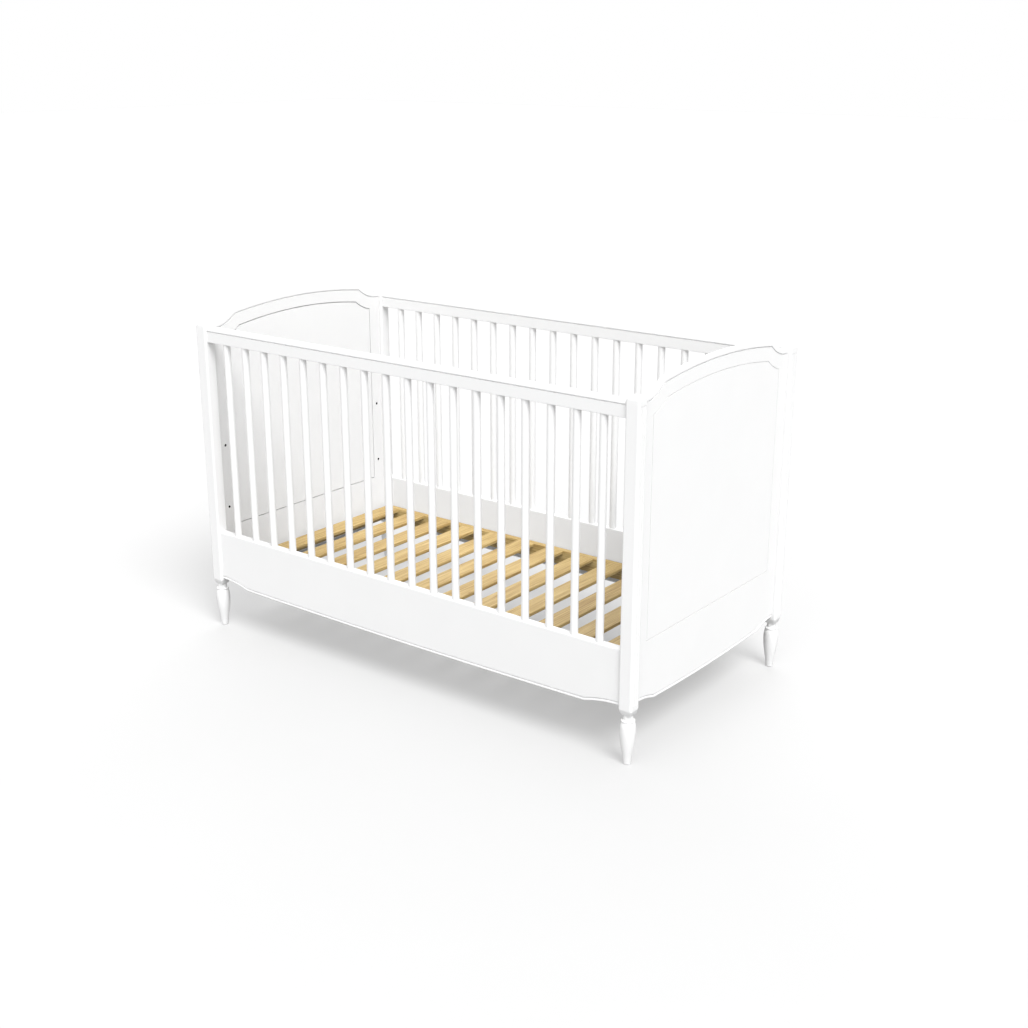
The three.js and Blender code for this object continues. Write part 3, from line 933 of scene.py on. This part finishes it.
# %% Make the two rows of spindles
for side_y, side_name in NAMES_Y.items():
    made = run_tree(f"spindles_{side_name}", spindle_tree, {
        "Count": SPINDLES,
        "Start": (SPINDLE_START * MM, side_y * POST_AT_Y * MM,
                  (APRON_TOP - SPINDLE_LET_IN) * MM),
        "Pitch": SPINDLE_PITCH * MM,
        "Radius": SPINDLE_RADIUS * MM,
        "Length": (RAIL_FOOT - APRON_TOP + 2 * SPINDLE_LET_IN) * MM,
        "Finish": white_lacquer})
    stands_for = [f"spindle_{side_name}_{i:02d}" for i in range(1, SPINDLES + 1)]
    finish_piece(made, white_lacquer, "white_paint", "crib_frame", *stands_for)

# %% [markdown]
# ## Slats
# Thirteen flat slats carry the mattress. A rounded rectangle is drawn along a line that runs
# across the cot, and set out with equal gaps. Each slat stores its own random number, with a
# fixed seed, so that no two show the same grain.

# %% Set out the slats
SLATS = 13
SLAT_WIDTH = 61.0
SLAT_THICK = 10.0
SLAT_EDGE = 1.6
SLAT_BELOW = 0.15
SLAT_SEAT = 8.0
SLAT_SEED = 7
BASE_RAIL = 20.0

slat_tree, entry, leave = new_tree("slat_row", {
    "Count": "NodeSocketInt", "Start": "NodeSocketVector", "Pitch": "NodeSocketFloat",
    "Width": "NodeSocketFloat", "Thickness": "NodeSocketFloat", "Edge": "NodeSocketFloat",
    "Length": "NodeSocketFloat", "Seed": "NodeSocketInt", "Finish": "NodeSocketMaterial"})
places = add_node(slat_tree, "GeometryNodeMeshLine", Count=entry.outputs["Count"],
                  Start_Location=entry.outputs["Start"],
                  Offset=axis_vector(slat_tree, X=entry.outputs["Pitch"]))
run = add_node(slat_tree, "GeometryNodeCurvePrimitiveLine",
               End=axis_vector(slat_tree, Y=entry.outputs["Length"]))
outline = add_node(slat_tree, "GeometryNodeCurvePrimitiveQuadrilateral",
                   Width=entry.outputs["Width"], Height=entry.outputs["Thickness"])
eased = add_node(slat_tree, "GeometryNodeFilletCurve", [("mode", "POLY")],
                 Curve=outline.outputs["Curve"], Radius=entry.outputs["Edge"], Count=4)
plank = add_node(slat_tree, "GeometryNodeCurveToMesh", Curve=run.outputs["Curve"],
                 Profile_Curve=eased.outputs["Curve"], Fill_Caps=True)
planks = add_node(slat_tree, "GeometryNodeInstanceOnPoints", Points=places.outputs["Mesh"],
                  Instance=plank.outputs["Mesh"])
chance = add_node(slat_tree, "FunctionNodeRandomValue", Seed=entry.outputs["Seed"])
mark = add_node(slat_tree, "GeometryNodeStoreNamedAttribute", [("domain", "INSTANCE")],
                Geometry=planks.outputs["Instances"], Name="board", Value=chance.outputs[1])
end_tree(slat_tree, entry, leave, mark.outputs["Geometry"])

slat_run = 2 * (DECK_Y - BASE_RAIL + SLAT_SEAT)
slat_pitch = (2 * DECK_X - SLAT_WIDTH) / (SLATS - 1)
slats = run_tree("slats", slat_tree, {
    "Count": SLATS,
    "Start": ((-DECK_X + SLAT_WIDTH / 2) * MM, -slat_run / 2 * MM,
              (DECK_TOP - SLAT_THICK / 2 - SLAT_BELOW) * MM),
    "Pitch": slat_pitch * MM,
    "Width": SLAT_WIDTH * MM,
    "Thickness": SLAT_THICK * MM,
    "Edge": SLAT_EDGE * MM,
    "Length": slat_run * MM,
    "Seed": SLAT_SEED,
    "Finish": pine_across})
corner_low = [min(v.co[i] for v in slats.data.vertices) / MM for i in range(3)]
corner_high = [max(v.co[i] for v in slats.data.vertices) / MM for i in range(3)]
print("slats from", [round(v, 1) for v in corner_low], "to", [round(v, 1) for v in corner_high])

# %% [markdown]
# ## The base's side rails and battens
# The slats are let into two long rails whose tops lie flush with them. At each end a batten
# closes the base and drops over the bolts with open slots, so that the base is lifted on and
# off. The same rounded section makes all four, and the slots are cut from below. Each board
# stores its own number, as the slats do: any two that differ give two different cuts.

# %% Make the side rails
BASE_RAIL_EDGE = 2.0


def mark_board(made, value):
    made.data.attributes.new("board", "FLOAT", "POINT")
    made.data.attributes["board"].data.foreach_set("value", [value] * len(made.data.vertices))


rail_section = eased_section(BASE_RAIL / 2, (DECK_TOP - DECK_FOOT) / 2, BASE_RAIL_EDGE)
for side_y, side_name in NAMES_Y.items():
    at_y = side_y * (DECK_Y - BASE_RAIL / 2)
    at_z = (DECK_TOP + DECK_FOOT) / 2
    rings = [[(x, at_y + u, at_z + v) for u, v in rail_section] for x in (-DECK_X, DECK_X)]
    made = piece(f"base_rail_{side_name}", mesh_from_rings("base_rail", rings))
    mark_board(made, 0.31 + 0.22 * side_y)
    finish_piece(made, pine_along, "pine", "base", "slat_deck")
finish_piece(slats, pine_across, "pine", "base", "slat_deck")

# %% Make the end battens
BATTEN_EDGE = 1.6

for side_x, end_name in NAMES_X.items():
    low, high = solid_box(f"base_batten_{end_name}")
    half_x = (high[0] - low[0]) / 2
    half_z = (high[2] - low[2]) / 2
    middle_x = (high[0] + low[0]) / 2
    middle_z = (high[2] + low[2]) / 2
    section = eased_section(half_x, half_z, BATTEN_EDGE)
    rings = [[(middle_x + u, y, middle_z + v) for u, v in section] for y in (low[1], high[1])]
    made = piece(f"slotted_batten_{end_name}", mesh_from_rings("batten", rings))
    through = (low[0] - OUTSIDE_THE_FACE, high[0] + OUTSIDE_THE_FACE)
    open_below = low[2] - 2 * OUTSIDE_THE_FACE
    slots = []
    for side_y in NAMES_Y:
        round_top = arc((side_y * BOLT_Y, BOLT_Z), HOLE_RADIUS, 0, 180, HOLE_SIDES // 2)
        outline = [*round_top, (side_y * BOLT_Y - HOLE_RADIUS, open_below),
                   (side_y * BOLT_Y + HOLE_RADIUS, open_below)]
        slots.append(mesh_from_rings("slot", [[(x, y, z) for y, z in outline]
                                              for x in through]))
    cut_away(made, slots)
    mark_board(made, 0.5 + 0.33 * side_x)
    finish_piece(made, pine_across, "pine", "base", f"base_batten_{end_name}")

# %% [markdown]
# ## Bolts
# Four button-headed bolts hold the base, one at each corner, with a hexagon socket in the
# head. One bolt is turned with its socket, then a tree sets it on the four corners of a grid
# and turns the two on the left to face the other way.

# %% Turn one bolt
BOLT_SEAT = DECK_X
BOLT_SIDES = 48
BOLT_HEAD = 6.0
BOLT_HEAD_HIGH = BOLT_SEAT - bolt_low[0]
BOLT_RADIUS = 3.7
BUTTON = [(0.0, 3.2), (0.25, 4.3), (1.1, 5.4), (2.4, BOLT_HEAD)]
SOCKET = 2.3
SOCKET_DEPTHS = (2.6, 0.25)
SOCKET_MOUTH = 1.06


def hexagon(radius, sides):
    points = []
    for i in range(sides):
        angle = math.tau * i / sides
        within = (angle + math.pi / 6) % (math.pi / 3) - math.pi / 6
        reach = radius * math.cos(math.pi / 6) / math.cos(within)
        points.append((reach * math.cos(angle), reach * math.sin(angle)))
    return points


def bolt_rings():
    face = -BOLT_HEAD_HIGH
    socket = hexagon(SOCKET, BOLT_SIDES)
    rings = [[(face + depth, u, v) for u, v in socket] for depth in SOCKET_DEPTHS]
    rings.append([(face, u * SOCKET_MOUTH, v * SOCKET_MOUTH) for u, v in socket])
    head = [(face + back, radius) for back, radius in BUTTON]
    head += [(-0.4, BOLT_HEAD), (0.0, BOLT_HEAD - 0.3)]
    shank = [(0.0, BOLT_RADIUS), (bolt_high[0] - BOLT_SEAT, BOLT_RADIUS)]
    rings += [[(x, radius * u, radius * v) for u, v in unit_circle(BOLT_SIDES)]
              for x, radius in head + shank]
    return rings


one_bolt = piece("one_bolt", mesh_from_rings("one_bolt", bolt_rings()))
print(f"a bolt with {len(one_bolt.data.polygons)} faces, its head {BOLT_HEAD_HIGH:.1f} high")

# %% Set the four bolts
bolt_tree, entry, leave = new_tree("corner_bolts", {
    "Bolt": "NodeSocketObject", "Apart X": "NodeSocketFloat", "Apart Y": "NodeSocketFloat",
    "Height": "NodeSocketFloat", "Finish": "NodeSocketMaterial"})
grid = add_node(bolt_tree, "GeometryNodeMeshGrid", Size_X=entry.outputs["Apart X"],
                Size_Y=entry.outputs["Apart Y"], Vertices_X=2, Vertices_Y=2)
lifted = add_node(bolt_tree, "GeometryNodeTransform", Geometry=grid.outputs["Mesh"],
                  Translation=axis_vector(bolt_tree, Z=entry.outputs["Height"]))
where = add_node(bolt_tree, "GeometryNodeInputPosition")
split = add_node(bolt_tree, "ShaderNodeSeparateXYZ", Vector=where.outputs["Position"])
on_left = add_node(bolt_tree, "ShaderNodeMath", [("operation", "LESS_THAN")],
                   Value=split.outputs["X"])
on_left.inputs[1].default_value = 0.0
half_turn = add_node(bolt_tree, "ShaderNodeMath", [("operation", "MULTIPLY")],
                     Value=on_left.outputs["Value"])
half_turn.inputs[1].default_value = math.pi
shape = add_node(bolt_tree, "GeometryNodeObjectInfo", Object=entry.outputs["Bolt"])
set_out = add_node(bolt_tree, "GeometryNodeInstanceOnPoints",
                   Points=lifted.outputs["Geometry"], Instance=shape.outputs["Geometry"],
                   Rotation=axis_vector(bolt_tree, Z=half_turn.outputs["Value"]))
end_tree(bolt_tree, entry, leave, set_out.outputs["Instances"])
bolts = run_tree("base_bolts", bolt_tree, {
    "Bolt": one_bolt, "Apart X": 2 * BOLT_SEAT * MM, "Apart Y": 2 * BOLT_Y * MM,
    "Height": BOLT_Z * MM, "Finish": zinc})
bpy.data.objects.remove(one_bolt)
finish_piece(bolts, zinc, "zinc_steel", "crib_frame",
             *[f"base_bolt_{side}_{end}" for side in NAMES_Y.values() for end in NAMES_X.values()])

# %% [markdown]
# ## Floor, light and camera
# The cot stands in a bright white studio: a pale floor that runs out of sight, a glowing
# surround, a soft key light high on the right and to the front, and two broad fills, one from
# the front and one from the back. The surround keeps the shadows open, and the key gives the
# rails and spindles their soft shade. Like the finishes, the floor throws less light than it
# shows. For the camera alone it is also lit from below, as a glass table is, which keeps the
# shadow on it pale, and the surround behind it is plain white.

# %% Floor
FLOOR_REACH = 30.0
FLOOR_CLOUDS = 1.5
FLOOR_COLOURS = [(0.3, (0.400, 0.400, 0.400)), (0.7, (0.405, 0.405, 0.405))]
FLOOR_THROWN = (0.32, 0.32, 0.32)
FLOOR_GLOW = 0.30

floor_mesh = bpy.data.meshes.new("floor")
corners = [(-FLOOR_REACH, -FLOOR_REACH, 0), (FLOOR_REACH, -FLOOR_REACH, 0),
           (FLOOR_REACH, FLOOR_REACH, 0), (-FLOOR_REACH, FLOOR_REACH, 0)]
floor_mesh.from_pydata(corners, [], [(0, 1, 2, 3)])
floor = piece("studio_floor", floor_mesh)
floor_finish, tree, shader = new_finish("studio_floor", 0.9)
floor_tone = ramp(tree, noise(tree, object_coords(tree, EVEN), FLOOR_CLOUDS), FLOOR_COLOURS)
two_colours(tree, shader, floor_tone, FLOOR_THROWN)
ray = tree.nodes.new("ShaderNodeLightPath")
lit_from_below = tree.nodes.new("ShaderNodeMath")
lit_from_below.operation = "MULTIPLY"
lit_from_below.inputs[1].default_value = FLOOR_GLOW
tree.links.new(ray.outputs["Is Camera Ray"], lit_from_below.inputs[0])
shader.inputs["Emission Color"].default_value = WHITE
tree.links.new(lit_from_below.outputs["Value"], shader.inputs["Emission Strength"])
shader.inputs["Specular IOR Level"].default_value = 0.1
floor_mesh.materials.append(floor_finish)
floor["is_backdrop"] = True
print("floor:", 2 * FLOOR_REACH, "m wide")

# %% The glowing surround
SURROUND_GLOW = 0.78

scene = bpy.context.scene
scene.view_settings.view_transform = "Standard"
surround = bpy.data.worlds.new("studio")
surround.use_nodes = True
tree = surround.node_tree
glow = tree.nodes["Background"]
glow.inputs["Color"].default_value = WHITE
glow.inputs["Strength"].default_value = SURROUND_GLOW
backdrop = tree.nodes.new("ShaderNodeBackground")
backdrop.inputs["Color"].default_value = WHITE
ray = tree.nodes.new("ShaderNodeLightPath")
either = tree.nodes.new("ShaderNodeMixShader")
tree.links.new(ray.outputs["Is Camera Ray"], either.inputs["Fac"])
tree.links.new(glow.outputs["Background"], either.inputs[1])
tree.links.new(backdrop.outputs["Background"], either.inputs[2])
tree.links.new(either.outputs["Shader"], tree.nodes["World Output"].inputs["Surface"])
scene.world = surround
print("surround:", surround.name, "with strength", SURROUND_GLOW)

# %% Key and fills
SOFT = 28
BROAD = 60


# A light that is far away in the given direction and as wide in the sky as the angle, in
# degrees.
def far_light(name, towards, angle, strength):
    lamp = bpy.data.lights.new(name, "SUN")
    lamp.angle = math.radians(angle)
    lamp.energy = strength * math.pi
    stand = bpy.data.objects.new(name, lamp)
    stand.rotation_euler = Vector(towards).to_track_quat("Z", "Y").to_euler()
    scene.collection.objects.link(stand)


far_light("key", towards=(0.56, -0.28, 0.78), angle=SOFT, strength=0.82)
far_light("front_fill", towards=(0.30, -0.78, 0.55), angle=BROAD, strength=0.33)
far_light("back_fill", towards=(-0.45, 0.75, 0.50), angle=BROAD, strength=0.36)

# %% [markdown]
# The camera stands to the front and right of the cot, well above its top rail, and looks down
# into it, so that the slats, both sides and both ends are all in view.

# %% Camera
CAMERA_AT = (2.39448, -2.98409, 1.65672)
CAMERA_TILT = 71.774
CAMERA_TURN = 37.594

lens = bpy.data.cameras.new("camera")
lens.lens = 50
lens.sensor_width = 36
camera = bpy.data.objects.new("camera", lens)
camera.location = CAMERA_AT
camera.rotation_euler = (math.radians(CAMERA_TILT), 0.0, math.radians(CAMERA_TURN))
scene.collection.objects.link(camera)
scene.camera = camera
print("camera", round(camera.location.z, 2), "m high")

# %% [markdown]
# ## The same size as the frame
# The finished pieces should fill the same box as the solids that they stand for. Here they
# pass it by one or two millimetres at the sides, where the legs are turned a little fuller.
# The box of the finished pieces is printed.

# %% Sizes and finish
low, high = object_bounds()
print("pieces:", [round(v, 4) for v in (*low, *high)])
